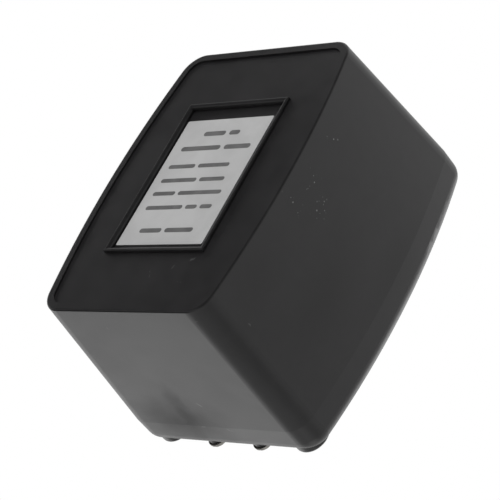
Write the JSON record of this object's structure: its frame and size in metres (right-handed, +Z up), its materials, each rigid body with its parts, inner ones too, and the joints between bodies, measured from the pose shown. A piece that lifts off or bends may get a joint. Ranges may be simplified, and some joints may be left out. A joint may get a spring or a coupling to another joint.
{
  "type": "plug-in transformer",
  "caption": "Plug-in mains transformer: a flared, bow-sided moulded case with a framed front label, flat mains blades on its back and screw terminals along its lower edge.",
  "frame": {"origin": "midway between the mains blades, on the raised face of the back that meets the wall", "axes": "+Y into the wall along the blades, +Z up, +X across the blades; the label faces -Y"},
  "size_m": [0.0634, 0.0681, 0.0832],
  "materials": {
    "case": "fine matte grain",
    "label": "satin film",
    "blade": "bare, drawn",
    "screw": "dark plated",
    "terminal": "bare, stamped",
    "board": "pressed board",
    "lamination": "varnished stack",
    "bobbin": "moulded nylon",
    "winding": "enamelled copper wire",
    "tape": "polyester film",
    "pin": "tinned",
    "fuse": "sealed body",
    "sleeve": "woven sleeve",
    "primary_lead": "insulated wire",
    "secondary_lead": "insulated wire"
  },
  "bodies": {
    "root": {"front_shell": "case", "back_cover": "case", "label_plate": "label", "blade_left": "blade", "blade_right": "blade", "blade_retainer": "board", "terminal_screw_left": "screw", "terminal_screw_right": "screw", "terminal_plate_left": "terminal", "terminal_plate_right": "terminal", "e_core_stack": "lamination", "i_core_stack": "lamination", "coil_bobbin": "bobbin", "primary_winding": "winding", "secondary_winding": "winding", "primary_tape": "tape", "secondary_tape": "tape", "primary_pins": "pin", "secondary_pins": "pin", "thermal_fuse": "fuse", "fuse_sleeve": "sleeve", "primary_lead_left": "primary_lead", "primary_lead_right": "primary_lead", "secondary_lead_left": "secondary_lead", "secondary_lead_right": "secondary_lead"}
  },
  "joints": []
}
